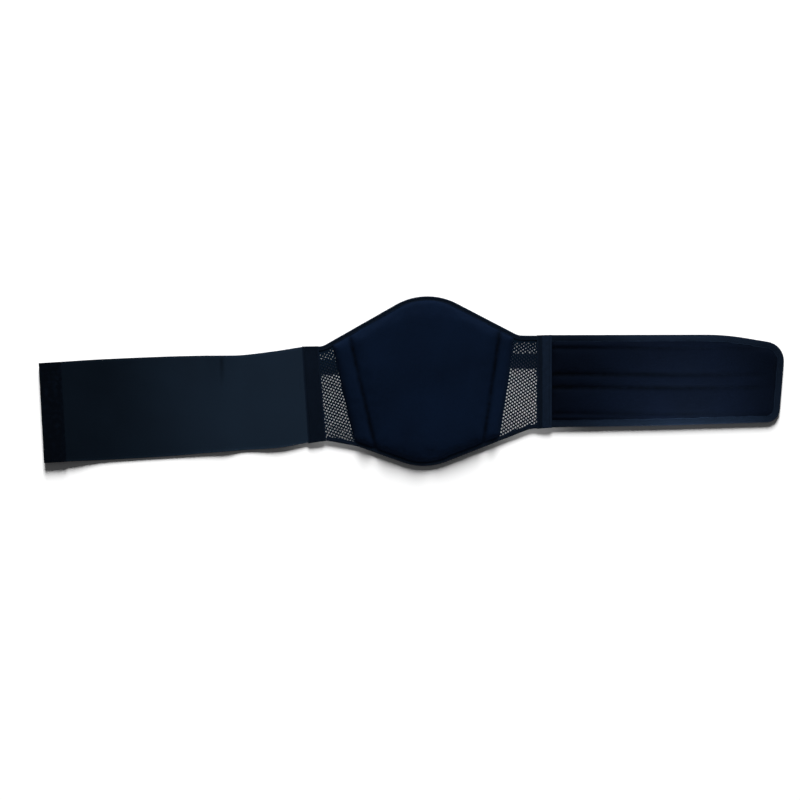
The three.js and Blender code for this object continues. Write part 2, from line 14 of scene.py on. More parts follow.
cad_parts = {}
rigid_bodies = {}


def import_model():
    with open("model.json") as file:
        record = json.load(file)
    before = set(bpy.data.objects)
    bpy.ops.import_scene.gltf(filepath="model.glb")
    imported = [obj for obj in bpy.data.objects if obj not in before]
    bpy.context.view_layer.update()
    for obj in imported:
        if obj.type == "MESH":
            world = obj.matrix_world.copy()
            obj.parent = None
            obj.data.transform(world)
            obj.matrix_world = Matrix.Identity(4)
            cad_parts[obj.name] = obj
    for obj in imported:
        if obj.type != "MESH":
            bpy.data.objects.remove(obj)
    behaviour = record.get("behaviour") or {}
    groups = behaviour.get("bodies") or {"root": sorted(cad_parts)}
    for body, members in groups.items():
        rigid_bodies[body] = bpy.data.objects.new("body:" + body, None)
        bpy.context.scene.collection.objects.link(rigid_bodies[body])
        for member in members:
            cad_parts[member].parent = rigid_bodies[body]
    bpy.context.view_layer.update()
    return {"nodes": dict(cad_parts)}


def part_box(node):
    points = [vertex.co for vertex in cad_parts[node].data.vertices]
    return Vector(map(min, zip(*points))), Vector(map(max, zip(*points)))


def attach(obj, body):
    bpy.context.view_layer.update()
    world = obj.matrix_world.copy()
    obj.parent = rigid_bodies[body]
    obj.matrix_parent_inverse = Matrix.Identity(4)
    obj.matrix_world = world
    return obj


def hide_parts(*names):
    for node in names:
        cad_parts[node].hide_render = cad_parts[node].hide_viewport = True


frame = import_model()

bl_info = {
    "name": "Kidney Belt",
    "version": (1, 0, 0),
    "blender": (4, 5, 0),
    "location": "View3D > Sidebar > Kidney Belt",
    "description": "Sews the flat-laid kidney belt from its cloths and lights it for a picture",
    "category": "Add Mesh",
}

MM = 0.001
TURN = 2 * math.pi
BODY = "root"

# Sizes in metres that the pieces share
TUCK = 0.006  # how far the wing and its binding reach into their join strip
SEAM_INSET = 0.0028  # from the free edge of a tab or strip to its seam
BINDING_INSET = 0.0016  # from the free edge of a binding to its seam
SEAM_STEP = 0.0025  # between the points that carry a seam or a binding
UNDER_RUN = 0.0015  # from a cover's seam to where it lies on the floor
# Nets: how much the holes are pulled across and along, and the nets' thickness, tuck and inset
HOLE_STRETCH = (1.1, 0.82)
NET_THICK = 0.001
NET_TUCK = 0.005
NET_INSET = 0.0032
# Hook strip: its width, length and height over the hooks, and the thickness of its base
HOOK_STRIP = (0.022, 0.120, 0.0015, 0.0006)
# Cloth simulation
FRAMES = 20
# Stage: floor, distances between which the floor begins to glow, world, and the camera's place and view
FLOOR_WIDTH = 240
FLOOR_DROP = 0.0002
FLOOR_GLOW = (0.8, 2.2)
WORLD_COLOUR = (0.95, 0.97, 1.0, 1)
WORLD_STRENGTH = 0.06
CAMERA_PLACE = (-0.0325, -0.0247, 2.0)
CAMERA_SENSOR = 36
VIEW_WIDTH = 1.04

# Outer edges in millimetres: x, y and the radius that the corner is rounded with
PANEL_TOP = (
    (-138.4, 45.0, 0),
    (-132.6, 45.4, 14),
    (1.3, 121.6, 83),
    (121.2, 59.2, 20),
    (145.4, 59.0, 0),
)
PANEL_BOTTOM = (
    (-128.5, -77.5, 0),
    (-89.7, -84.2, 90),
    (-0.5, -115.8, 80),
    (136.9, -62.0, 25),
    (145.4, -61.9, 0),
)
WING_EDGE = (
    (158.5, 59.8, 0),
    (390.0, 60.3, 320),
    (468.0, 47.2, 25),
    (459.8, -53.4, 18),
    (300.0, -58.0, 500),
    (158.5, -60.4, 0),
)
# Where the pad's slanting sides meet those edges
PAD_SIDES = {"top_left": -122.2, "top_right": 117.0, "bottom_left": -91.0, "bottom_right": 96.9}
# Straight tapes in millimetres: the two ends of the left edge, then of the right edge, lower end first
LEFT_STRIP = ((-151.5, -81.0), (-159.9, 44.9), (-128.8, -77.8), (-138.7, 45.2))
RIGHT_STRIP = ((145.7, -62.2), (145.7, 59.4), (164.2, -60.7), (164.2, 59.9))
END_TAB = ((-494.4, -106.5), (-501.5, 23.2), (-464.9, -104.7), (-472.0, 25.0))
# Sections of the elastic from its outer end: x, y and height of the upper edge, then of the lower edge
BAND_SECTIONS = (
    (-500.4, 23.3, 3.6, -493.3, -106.4, 3.6),
    (-466.0, 25.4, 3.6, -459.0, -104.4, 3.6),
    (-422.5, 28.2, 1.6, -416.0, -102.6, 1.2),
    (-344.5, 31.6, 0.9, -340.0, -98.3, 0.8),
    (-290.0, 33.0, 1.6, -286.0, -93.8, 1.5),
    (-263.0, 33.0, 6.4, -259.0, -91.7, 2.0),
    (-236.0, 33.9, 1.5, -232.0, -89.6, 0.9),
    (-195.0, 38.8, 2.9, -190.0, -86.8, 2.2),
    (-162.0, 44.0, 1.8, -153.6, -80.4, 1.8),
    (-154.2, 44.4, 1.8, -145.8, -79.9, 1.8),
)
# Lamps: name, place, aim, width, watts, cone in degrees (none for a broad lamp), and what they light
LIGHTS = (
    ("key", (0.1, 6.9, 4.0), (0, 0, 0), 3.4, 1600, None, "belt"),
    ("floor_light", (0.1, 7.63, 2.4), (0, 0, 0), 3.4, 2750, None, "floor"),
    ("fill_light", (0.6, -2.4, 0.8), (0, 0, 0), 0.8, 34, None, "belt"),
    ("band_light", (-0.16, -0.02, 1.0), (-0.16, -0.02, 0), 0.1, 90, 29, "band"),
    ("wing_light", (0.5, -0.5, 1.6), (0.33, -0.045, 0), 0.1, 250, 10, "belt"),
    ("rim_light", (0.5, -1.5, 0.8), (0.345, -0.06, 0), 0.1, 380, 7, "belt"),
    ("net_light_left", (-0.117, -0.022, 2.2), (-0.117, -0.022, 0), 0.05, 44, 4.5, "floor"),
    ("net_light_right", (0.128, -0.016, 2.2), (0.128, -0.016, 0), 0.05, 50, 4.5, "floor"),
)


def size(name, description, default):
    """A length that a user may change."""
    return FloatProperty(
        name=name, description=description, default=default, min=0, unit="LENGTH", precision=5
    )


def tint(name, description, default):
    """A colour that a user may change."""
    return FloatVectorProperty(
        name=name, description=description, default=default, subtype="COLOR", min=0, max=1
    )


class BeltSizes(PropertyGroup):
    """Sizes of the cloths, seams and threads."""

    cloth: size("Cloth", "Thickness of the elastic and of the pressed edges", 0.0014)
    ply: size("Ply", "Thickness of one layer of folded tape", 0.0008)
    gap: size("Gap", "Room between neighbouring pieces", 0.0003)
    pad_binding: size("Pad binding", "Width of the tape round the pad and the nets", 0.0055)
    wing_binding: size("Wing binding", "Width of the tape round the wing", 0.009)
    pad_rise: size("Pad rise", "Padding of the back pad above its seam", 0.0082)
    pad_run: size("Pad run", "From the pad's pressed edge to its full padding", 0.011)
    pad_dip: size("Pad dip", "Depth of the pad's sewn lines", 0.0034)
    pad_line_left: size("Left line", "From the pad's left side to its sewn line", 0.025)
    pad_line_right: size("Right line", "From the pad's right side to its sewn line", 0.020)
    wing_rise: size("Wing rise", "Padding of the wing above its seam", 0.0049)
    wing_run: size("Wing run", "From the wing's pressed edge to its full padding", 0.0062)
    wing_dip: size("Wing dip", "Depth of the wing's sewn lines", 0.0026)
    wing_line_middle: size("Middle lines", "From the wing's middle to its inner sewn lines", 0.0085)
    wing_line_outer: size("Outer lines", "From the wing's long edges to its outer sewn lines", 0.0175)
    net_across: size("Net across", "Width of the net's staggered cell", 0.0058)
    net_along: size("Net along", "Height of the net's staggered cell", 0.0046)
    net_strand: size("Net strand", "Width of the net's strands", 0.0015)
    net_selvedge: size("Net selvedge", "Closed edge of the nets below the upper binding", 0.0035)
    net_tape: size("Net tape", "Width of the stretch tape behind each net", 0.020)
    hook_pitch: size("Hook pitch", "From one hook to the next", 0.0017)
    stitch: size("Stitch", "Length of a stitch", 0.0027)
    stitch_pitch: size("Stitch pitch", "From one stitch to the next", 0.0033)
    thread: size("Thread", "Thickness of the thread", 0.00055)


class BeltColours(PropertyGroup):
    """Colours of the cloths and of the floor."""

    elastic: tint("Elastic", "Woven elastic band", (0.0013, 0.0026, 0.0046))
    tape: tint("Tape", "Bindings, strips and tab", (0.0018, 0.0034, 0.0070))
    stretch: tint("Stretch tape", "Tapes behind the nets", (0.100, 0.094, 0.108))
    pad: tint("Pad", "Knit cover of the back pad", (0.0013, 0.0035, 0.0102))
    net: tint("Net", "Vent nets", (0.0018, 0.0050, 0.0105))
    loop: tint("Loop", "Loop pile of the wing", (0.0006, 0.0012, 0.0033))
    hook: tint("Hook", "Hook strip", (0.0022, 0.0023, 0.0030))
    thread: tint("Thread", "Sewing thread", (0.0008, 0.0016, 0.0040))
    sheen: tint("Shine", "Colour that the cloths reflect", (0.35, 0.58, 1.0))
    floor: tint("Floor", "Pale floor", (0.95, 0.95, 0.95))


def sizes():
    return bpy.context.scene.belt_sizes


def colours():
    return bpy.context.scene.belt_colours


def mix(a, b, t):
    return a + (b - a) * t


def smooth(t):
    """Eases from 0 to 1 while t does."""
    t = np.clip(t, 0, 1)
    return t * t * (3 - 2 * t)


def bell(distance, width):
    """1 at no distance, nearly 0 at twice the width."""
    return np.exp(-((distance / width) ** 2))


def waver(distance, wavelength, phase):
    """A slow uneven wave between about -1 and 1."""
    turn = TURN * distance / wavelength + phase
    return 0.55 * np.sin(turn) + 0.3 * np.sin(2.3 * turn + 1.7 * phase) + 0.15 * np.sin(4.1 * turn)


class Line:
    """An open line on the floor that can be walked by its length, in metres."""

    def __init__(self, points):
        self.points = np.asarray(points, float)
        steps = norm(np.diff(self.points, axis=0), axis=1)
        self.marks = np.concatenate([[0], np.cumsum(steps)])
        self.length = self.marks[-1]

    def at(self, walked):
        return np.stack([np.interp(walked, self.marks, self.points[:, k]) for k in (0, 1)], -1)

    def beside(self, walked, distance):
        """Points moved to the right of the line's run."""
        ahead = self.at(np.minimum(walked + MM, self.length))
        behind = self.at(np.maximum(walked - MM, 0))
        run = ahead - behind
        run /= norm(run, axis=-1, keepdims=True)
        right = np.stack([run[..., 1], -run[..., 0]], -1)
        return self.at(walked) + right * np.asarray(distance)[..., None]

    def where_x(self, x):
        """How far a line that runs from left to right has gone at x."""
        return np.interp(x, self.points[:, 0], self.marks)

    def nearest(self, spot):
        return self.marks[np.argmin(norm(self.points - np.asarray(spot), axis=1))]

    def gap_to(self, spots):
        """Distance from each of the spots to the line."""
        flat = spots.reshape(-1, 2)
        walked = np.linspace(0, self.length, 500)
        gaps = norm(flat[:, None, :] - self.at(walked)[None], axis=2).min(axis=1)
        return gaps.reshape(spots.shape[:-1])


def rounded_line(corners):
    """A line through a table of corners, with each corner rounded, from millimetres."""
    spots = np.array([corner[:2] for corner in corners], float)
    points = [spots[0]]
    for before, spot, after, corner in zip(spots, spots[1:], spots[2:], corners[1:]):
        radius = corner[2]
        back = (before - spot) / norm(before - spot)
        on = (after - spot) / norm(after - spot)
        half = math.acos(back @ on) / 2
        inward = (back + on) / norm(back + on)
        middle = spot + inward * radius / math.sin(half)
        start = spot + back * radius / math.tan(half) - middle
        end = spot + on * radius / math.tan(half) - middle
        angle = math.atan2(start[1], start[0])
        sweep = math.atan2(start[0] * end[1] - start[1] * end[0], start @ end)
        for share in np.linspace(0, 1, 40):
            turned = angle + sweep * share
            points.append(middle + radius * np.array([math.cos(turned), math.sin(turned)]))
    points.append(spots[-1])
    return Line(np.array(points) * MM)


panel_top = rounded_line(PANEL_TOP)
panel_bottom = rounded_line(PANEL_BOTTOM)
wing_edge = rounded_line(WING_EDGE)


# Mesh helpers


def corners_of(table):
    """The corners of a straight tape in metres."""
    return [np.array(spot) * MM for spot in table]


def deselect():
    bpy.ops.object.select_all(action="DESELECT")


def take(piece):
    """Makes a piece the only selected and the active object."""
    deselect()
    piece.select_set(True)
    bpy.context.view_layer.objects.active = piece


def named(name):
    piece = bpy.context.object
    piece.name = piece.data.name = name
    return piece


def primitive(name, kind, **settings):
    """Adds one of Blender's primitives as the active object."""
    deselect()
    getattr(bpy.ops.mesh, f"primitive_{kind}_add")(**settings)
    return named(name)


def places(piece):
    flat = np.empty(len(piece.data.vertices) * 3)
    piece.data.vertices.foreach_get("co", flat)
    return flat.reshape(-1, 3)


def set_places(piece, points):
    piece.data.vertices.foreach_set("co", np.ascontiguousarray(points, float).ravel())
    piece.data.update()


def finish_with(piece, kind, **settings):
    """Adds a modifier and applies it."""
    take(piece)
    bpy.ops.object.modifier_add(type=kind)
    modifier = piece.modifiers[-1]
    for key, value in settings.items():
        setattr(modifier, key, value)
    bpy.ops.object.modifier_apply(modifier=modifier.name)


def repeat(piece, count, offset):
    """Sets copies of a piece in a row, in the same mesh."""
    finish_with(
        piece,
        "ARRAY",
        count=count,
        use_relative_offset=False,
        use_constant_offset=True,
        constant_offset_displace=offset,
    )


@contextmanager
def editing(select=True):
    """Opens the active piece for editing, with all of it selected unless told otherwise."""
    bpy.ops.object.mode_set(mode="EDIT")
    if select:
        bpy.ops.mesh.select_all(action="SELECT")
    yield
    bpy.ops.object.mode_set(mode="OBJECT")


def apply_place():
    bpy.ops.object.transform_apply(location=True, rotation=True, scale=True)


def round_off(piece):
    finish_with(piece, "SUBSURF", levels=1, render_levels=1)
    bpy.ops.object.shade_smooth()


def hemmed(rows):
    """Rows with one more close to each end, so that the ends keep their place when rounded."""
    start = mix(rows[:1], rows[1:2], 0.12)
    end = mix(rows[-1:], rows[-2:-1], 0.12)
    return np.concatenate([rows[:1], start, rows[1:-1], end, rows[-1:]])


def hemmed_sheet(grid):
    return hemmed(hemmed(grid).swapaxes(0, 1)).swapaxes(0, 1)


def sheet_of(name, points, wear_and_painted_shading=None, hem=True):
    """A sheet through rows of points, with its UV map in metres along and across the rows."""
    if wear_and_painted_shading is not None:
        wear_and_painted_shading = np.broadcast_to(wear_and_painted_shading, points.shape[:2])
    if hem:
        points = hemmed_sheet(points)
        wear_and_painted_shading = None if wear_and_painted_shading is None else hemmed_sheet(wear_and_painted_shading)
    rows, columns = points.shape[:2]
    piece = primitive(name, "grid", x_subdivisions=columns - 1, y_subdivisions=rows - 1, size=1)
    flat = places(piece)
    column = np.rint((flat[:, 0] + 0.5) * (columns - 1)).astype(int)
    row = np.rint((flat[:, 1] + 0.5) * (rows - 1)).astype(int)
    set_places(piece, points[row, column])
    along = norm(np.diff(points, axis=1), axis=2).mean(axis=0)
    across = norm(np.diff(points, axis=0), axis=2).mean(axis=1)
    along = np.concatenate([[0], np.cumsum(along)])[column]
    across = np.concatenate([[0], np.cumsum(across)])[row]
    corners = np.empty(len(piece.data.loops), int)
    piece.data.loops.foreach_get("vertex_index", corners)
    uv = np.stack([along[corners], across[corners]], -1)
    piece.data.uv_layers[0].data.foreach_set("uv", uv.ravel())
    # The per-point tone lightens worn edges and holds painted shade and painted light on some pieces
    if wear_and_painted_shading is not None:
        worn_and_painted_shading = piece.data.attributes.new("wear_and_painted_shading", "FLOAT", "POINT")
        worn_and_painted_shading.data.foreach_set("value", wear_and_painted_shading[row, column].astype(np.float32))
    return piece


def thicken(piece, thickness):
    finish_with(piece, "SOLIDIFY", thickness=thickness, offset=0, use_even_offset=True)
    round_off(piece)


def fold_section(width, high, low, ply):
    """Section of a tape folded over an edge: distance from the fold, and height."""
    steps = 9
    radius = (high - low) / 2
    middle = radius + ply / 2
    out = np.linspace(width, middle, steps)
    turn = np.linspace(0, math.pi, steps)[1:-1]
    across = np.concatenate([out, middle - radius * np.sin(turn), out[::-1]])
    bend = low + radius + radius * np.cos(turn)
    height = np.concatenate([np.full(steps, high), bend, np.full(steps, low)])
    return across, height


def join(name, pieces):
    take(pieces[0])
    for piece in pieces[1:]:
        piece.select_set(True)
    if len(pieces) > 1:
        bpy.ops.object.join()
    return named(name)


def dress(piece, material, slot, *nodes):
    """Gives a piece its material and sets it on the belt in place of its solids; the slot is not used.
    """
    piece.data.materials.clear()
    piece.data.materials.append(material)
    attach(piece, BODY)
    if nodes:
        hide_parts(*nodes)


# Materials


def connect(tree, shader, inputs):
    """Sets inputs of a shader node to values or to other nodes' outputs."""
    for key, value in inputs.items():
        if isinstance(value, bpy.types.NodeSocket):
            tree.links.new(value, shader.inputs[key])
        else:
            shader.inputs[key].default_value = value


def node(tree, kind, inputs=None, **settings):
    """A new shader node with its settings and inputs."""
    made = tree.nodes.new(kind)
    for key, value in settings.items():
        setattr(made, key, value)
    connect(tree, made, inputs or {})
    return made


def math_of(tree, operation, first, second=0.0):
    return node(tree, "ShaderNodeMath", {0: first, 1: second}, operation=operation).outputs[0]


def wave(tree, place, pitch):
    """A sine of a coordinate, once in each pitch."""
    return math_of(tree, "SINE", math_of(tree, "MULTIPLY", place, TURN / pitch))


def noise(tree, coordinates, scale, detail=2.0):
    inputs = {"Vector": coordinates, "Scale": scale, "Detail": detail}
    return node(tree, "ShaderNodeTexNoise", inputs).outputs["Fac"]


def spread(tree, value, low, high, from_low=0.0, from_high=1.0):
    """Takes a value from one range to another."""
    inputs = {0: value, 1: from_low, 2: from_high, 3: low, 4: high}
    return node(tree, "ShaderNodeMapRange", inputs).outputs[0]


def tinted(tree, colour, shade):
    """A colour made lighter or darker by a node's output."""
    inputs = {0: tuple(colour), "Scale": shade}
    return node(tree, "ShaderNodeVectorMath", inputs, operation="SCALE").outputs[0]


def blank_material(name):
    material = bpy.data.materials.new(name)
    material.use_nodes = True
    tree = material.node_tree
    return material, tree, tree.nodes["Principled BSDF"]


def plain_weave(tree, x, y, pitch):
    """Yarns that pass over and under each other."""
    return math_of(tree, "MULTIPLY", wave(tree, x, 2 * pitch[0]), wave(tree, y, 2 * pitch[1]))


def ribs(tree, x, y, pitch):
    """Ribs across the run of a tape, broken by its fine warp."""
    rib = math_of(tree, "ABSOLUTE", wave(tree, x, 2 * pitch[0]))
    warp = math_of(tree, "MULTIPLY", wave(tree, y, pitch[1]), 0.3)
    return math_of(tree, "ADD", rib, warp)


def knit(tree, x, y, pitch):
    """Columns of small slanted loops."""
    column = math_of(tree, "ABSOLUTE", wave(tree, x, 2 * pitch[0]))
    slant = math_of(tree, "ADD", y, math_of(tree, "MULTIPLY", column, 0.5 * pitch[1]))
    return math_of(tree, "ADD", column, math_of(tree, "MULTIPLY", wave(tree, slant, pitch[1]), 0.5))


def pile(tree, x, y, pitch):
    """Brushed loops that lie every way."""
    place = node(tree, "ShaderNodeCombineXYZ", {0: x, 1: y}).outputs[0]
    inputs = {"Vector": place, "Scale": 1 / pitch[0]}
    tufts = node(tree, "ShaderNodeTexVoronoi", inputs).outputs["Distance"]
    return math_of(tree, "ADD", tufts, noise(tree, place, 2 / pitch[1], 4.0))


def cloth_material(name, colour, weave, pitch, source, rough, gloss, sheen, relief):
    """A cloth: woven relief, uneven dye and roughness, painted shade in the weave's low places, and a
    per-point tone that lightens worn edges and holds painted shade and painted light on some pieces.
    """
    material, tree, shader = blank_material(name)
    place = node(tree, "ShaderNodeTexCoord").outputs[source]
    split = node(tree, "ShaderNodeSeparateXYZ", {0: place}).outputs
    height = weave(tree, split[0], split[1], pitch)
    cloud = noise(tree, place, 14.0, 4.0)
    fibre = noise(tree, place, 900.0, 3.0)
    # Per-point tone from the piece: lighter worn edges, painted shade along sewn lines and the elastic's
    # crease, and painted shade and light on the join strips
    worn_and_painted_shading = node(tree, "ShaderNodeAttribute", attribute_name="wear_and_painted_shading").outputs["Fac"]
    patches = spread(tree, noise(tree, place, 160.0), 0.5, 1.0, 0.35, 0.7)
    patchy = math_of(tree, "MULTIPLY", worn_and_painted_shading, patches)
    shade = math_of(tree, "ADD", spread(tree, cloud, 0.67, 1.33, 0.2, 0.8), patchy)
    shade = math_of(tree, "MAXIMUM", shade, 0.12)
    # Painted shade: the weave's low places are darker
    shade = math_of(tree, "MULTIPLY", shade, spread(tree, height, 0.8, 1.12, -1.0, 1.0))
    shade = math_of(tree, "MULTIPLY", shade, spread(tree, fibre, 0.85, 1.15, 0.3, 0.7))
    fuzz = math_of(tree, "ADD", height, math_of(tree, "MULTIPLY", fibre, 0.6))
    bump = node(tree, "ShaderNodeBump", {"Strength": 0.6, "Distance": relief, "Height": fuzz})
    shine = (*colours().sheen, 1)
    inputs = {
        "Base Color": tinted(tree, colour, shade),
        "Roughness": spread(tree, cloud, 0.88 * rough, 1.12 * rough, 0.2, 0.8),
        "Normal": bump.outputs[0],
        "Specular IOR Level": gloss,
        "Specular Tint": shine,
        "Sheen Weight": sheen,
        "Sheen Roughness": 0.5,
        "Sheen Tint": shine,
    }
    connect(tree, shader, inputs)
    return material


def cloth(name):
    """The belt's materials, each made once."""
    hue = colours()
    # Colour, weave, its pitch, coordinates, roughness, gloss, sheen and depth of the relief
    kinds = {
        "woven elastic": (hue.elastic, plain_weave, (0.0011, 0.0008), "UV", 0.75, 0.05, 0.0, 0.00006),
        "folded tape": (hue.tape, ribs, (0.0008, 0.0006), "UV", 0.7, 0.04, 0.01, 0.0002),
        "stretch tape": (hue.stretch, ribs, (0.0008, 0.0012), "UV", 0.8, 0.10, 0.02, 0.0002),
        "knit cover": (hue.pad, knit, (0.0011, 0.0013), "Object", 0.8, 0.03, 0.013, 0.0002),
        "net yarn": (hue.net, plain_weave, (0.0005, 0.0004), "Object", 0.7, 0.04, 0.02, 0.00015),
        "loop pile": (hue.loop, pile, (0.0012, 0.0008), "Object", 0.85, 0.03, 0.008, 0.0004),
        "hook plastic": (hue.hook, ribs, (0.0017, 0.0017), "Object", 0.5, 0.30, 0.0, 0.00008),
        "sewing thread": (hue.thread, ribs, (0.0004, 0.0003), "Object", 0.6, 0.03, 0.01, 0.0001),
    }
    return bpy.data.materials.get(name) or cloth_material(name, *kinds[name])


# Seams


def sew(piece, path, start=0.0, end=None):
    """A row of stitches on top of a piece, along a line on the floor."""
    size = sizes()
    end = path.length if end is None else end
    walked = np.linspace(start, end, max(2, int((end - start) / SEAM_STEP)))
    bpy.context.view_layer.update()
    points = []
    for x, y in path.at(walked):
        hit, place, _, _ = piece.ray_cast((x, y, 0.1), (0, 0, -1))
        if hit:
            points.append((x, y, place.z))
    if len(points) < 2:
        raise RuntimeError(f"no cloth under a seam on {piece.name}")
    curve = bpy.data.curves.new("seam", "CURVE")
    curve.dimensions = "3D"
    spline = curve.splines.new("POLY")
    spline.points.add(len(points) - 1)
    spline.points.foreach_set("co", np.c_[np.array(points), np.ones(len(points))].ravel())
    seam = bpy.data.objects.new("seam", curve)
    bpy.context.scene.collection.objects.link(seam)
    row = primitive("stitches", "uv_sphere", segments=8, ring_count=5, radius=0.5)
    with editing():
        bpy.ops.transform.rotate(value=math.pi / 2, orient_axis="Y", center_override=(0, 0, 0))
        bpy.ops.transform.resize(value=(size.stitch, size.thread, size.thread))
        bpy.ops.transform.translate(value=(size.stitch / 2, 0, 0))
    length = norm(np.diff(np.array(points), axis=0), axis=1).sum()
    repeat(row, max(1, int(length / size.stitch_pitch)), (size.stitch_pitch, 0, 0))
    finish_with(row, "CURVE", object=seam, deform_axis="POS_X")
    bpy.data.objects.remove(seam)
    bpy.data.curves.remove(curve)
    bpy.ops.object.shade_smooth()
    return row


def straight(*spots):
    return Line(np.array(spots) * MM)


def offset_line(path, start, end, distance):
    """A line beside part of another one."""
    walked = np.linspace(start, end, max(2, int((end - start) / MM)))
    return Line(path.beside(walked, np.full(len(walked), distance)))


def finish_seams(name, rows):
    """Joins rows of stitches into one piece."""
    dress(join(name, rows), cloth("sewing thread"), "tape")


# Padded covers


def side_distance(spots, low, high):
    """How far spots lie to the right of the line from one spot up to another."""
    along = (high - low) / norm(high - low)
    return (spots[..., 0] - low[0]) * along[1] - (spots[..., 1] - low[1]) * along[0]


def plump(distance, run):
    """Rises from 0 at a pressed edge to 1 at the end of the run, as the round of a cushion does."""
    share = np.clip(distance / run, 0, 1)
    return np.sqrt(1 - (1 - share) ** 2)


def blow_up(cover, pinned, pressure, most):
    """Lets the padding push a cover out between its seams, by cloth simulation."""
    start = places(cover)
    group = cover.vertex_groups.new(name="sewn")
    for index in np.flatnonzero(pinned > 0):
        group.add([int(index)], float(pinned[index]), "REPLACE")
    take(cover)
    bpy.ops.object.modifier_add(type="CLOTH")
    modifier = cover.modifiers[-1]
    settings = modifier.settings
    settings.quality = 6
    settings.mass = 0.15
    settings.tension_stiffness = settings.compression_stiffness = 8
    settings.shear_stiffness = 4
    settings.bending_stiffness = 2.0
    settings.vertex_group_mass = group.name
    settings.use_pressure = True
    settings.uniform_pressure_force = pressure
    settings.shrink_min = -0.004
    settings.effector_weights.gravity = 0
    modifier.collision_settings.use_collision = False
    modifier.point_cache.frame_start = 1
    modifier.point_cache.frame_end = FRAMES
    for step in range(1, FRAMES + 1):
        bpy.context.scene.frame_set(step)
    take(cover)
    bpy.ops.object.modifier_apply(modifier=modifier.name)
    bpy.context.scene.frame_set(1)
    moved = places(cover) - start
    length = np.maximum(norm(moved, axis=1, keepdims=True), 1e-9)
    set_places(cover, start + moved * np.tanh(length / most) * most / length)
    loose = cover.vertex_groups.new(name="loose")
    for index in np.flatnonzero(pinned <= 0):
        loose.add([int(index)], 1.0, "REPLACE")
    finish_with(cover, "SMOOTH", factor=0.5, iterations=6, vertex_group=loose.name)
    cover.vertex_groups.clear()


def close_below(cover, floor_of):
    """Gives a cover its flat underside: floor_of says how high it lies at each spot."""
    take(cover)
    with editing(select=False):
        bpy.ops.mesh.select_mode(type="VERT")
        bpy.ops.mesh.select_all(action="SELECT")
        bpy.ops.mesh.extrude_region_move(TRANSFORM_OT_translate={"value": (0, 0, 0)})
        bpy.ops.mesh.select_all(action="INVERT")
    below = np.zeros(len(cover.data.vertices), bool)
    cover.data.vertices.foreach_get("select", below)
    points = places(cover)
    points[below, 2] = floor_of(points[below, :2])
    set_places(cover, points)
    with editing():
        bpy.ops.mesh.normals_make_consistent(inside=False)


def fill_out(cover, points, pinned, pressure, most, reach):
    """Pads a cover that is sewn down where it is pinned, closes it below and rounds it off.

    Reach says how far spots lie inside the cover's seam, where its underside leaves the floor.
    """
    sewn = zip(points.reshape(-1, 3), pinned.ravel())
    weights = {tuple(np.round(spot, 6)): weight for spot, weight in sewn}
    found = [weights.get(tuple(np.round(spot, 6)), 0.0) for spot in places(cover)]
    blow_up(cover, np.array(found), pressure, most)
    seam_low = sizes().ply + sizes().gap
    close_below(cover, lambda spots: seam_low * (1 - smooth(reach(spots) / UNDER_RUN)))
    round_off(cover)


def through(anchors, counts):
    """Fractions for rows or columns that pass through the anchors, with so many steps between."""
    runs = [
        mix(a[..., None], b[..., None], np.arange(count) / count)
        for a, b, count in zip(anchors, anchors[1:], counts)
    ]
    return np.concatenate([*runs, anchors[-1][..., None]], axis=-1)


class BeltPiece:
    """What the belt's operators share."""

    bl_options = {"REGISTER", "UNDO"}

    def execute(self, context):
        self.build()
        return {"FINISHED"}


class BELT_OT_elastic_band(BeltPiece, Operator):
    """Weave the wide elastic, with the shallow buckle at its upper edge"""

    bl_idname = "belt.elastic_band"
    bl_label = "Elastic band"

    def build(self):
        table = np.array(BAND_SECTIONS) * MM
        count = len(table)
        along = np.linspace(0, count - 1, 150)
        index = np.minimum(along.astype(int), count - 2)
        share = along - index
        before, start, end, after = (
            table[np.clip(index + step, 0, count - 1)] for step in (-1, 0, 1, 2)
        )
        t = share[:, None]
        curved = 0.5 * (
            2 * start
            + (end - before) * t
            + (2 * before - 5 * start + 4 * end - after) * t**2
            + (3 * start - before - 3 * end + after) * t**3
        )
        up = np.linspace(0, 1, 34)[:, None]
        x = mix(curved[:, 3], curved[:, 0], up)
        y = mix(curved[:, 4], curved[:, 1], up)
        z = mix(curved[:, 5], curved[:, 2], up**3.6)
        settled = smooth((x + 0.47) / 0.03) * smooth((-0.165 - x) / 0.03)
        z += settled * 0.03 * MM * (1 + waver(x + 0.25 * y, 0.11, 0.4))
        selvedge = np.maximum(bell(up * 0.128, 0.0016), bell((1 - up) * 0.128, 0.0016))
        # Painted shade darkens the elastic along its crease; its selvedges are lighter with wear
        painted_crease_shade = bell(x + 0.2635, 0.0026) * smooth((up - 0.62) / 0.3)
        points = np.stack([x, y, z], -1)
        band = sheet_of("elastic_band_cloth", points, selvedge - 0.9 * painted_crease_shade)
        thicken(band, sizes().cloth)
        dress(band, cloth("woven elastic"), "elastic", "elastic_band")
        height, length = (
            norm(np.diff(points, axis=axis), axis=2).sum(axis).mean() for axis in (0, 1)
        )


